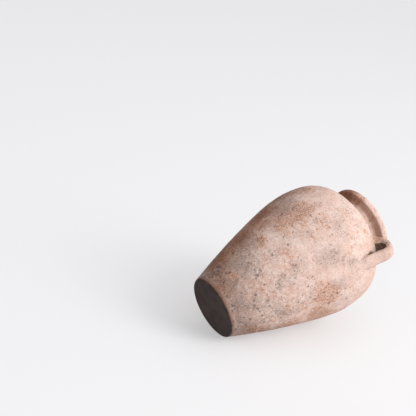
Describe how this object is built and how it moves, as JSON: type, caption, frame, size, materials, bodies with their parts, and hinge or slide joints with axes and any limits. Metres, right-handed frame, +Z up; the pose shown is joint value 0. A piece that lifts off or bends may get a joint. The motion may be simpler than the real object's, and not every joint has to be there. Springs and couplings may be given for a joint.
{
  "type": "amphora",
  "caption": "Shouldered earthenware storage amphora with a flat base, flared lip and strap handles from neck to shoulder",
  "frame": {"origin": "centre of the flat face that the amphora stands on", "axes": "+Z up along the vessel's axis towards the mouth, +X towards the handle seen in the picture"},
  "size_m": [0.2694, 0.2448, 0.36],
  "materials": {
    "body_clay": "unglazed matte earthenware, pinkish beige with rust and smoke clouds",
    "smoked_clay": "smooth smoke-blackened earthenware",
    "inner_clay": "unglazed matte earthenware, in shade and dusty"
  },
  "bodies": {
    "root": {"base_disc": "smoked_clay", "lower_wall": "body_clay", "shoulder_wall": "body_clay", "neck": "body_clay", "rim": "body_clay", "handle_right": "body_clay", "handle_left": "body_clay", "collar_right": "body_clay", "collar_left": "body_clay", "tongue_right": "body_clay", "tongue_left": "body_clay", "base_seam_coil": "inner_clay", "belly_seam_coil": "inner_clay"}
  },
  "joints": []
}
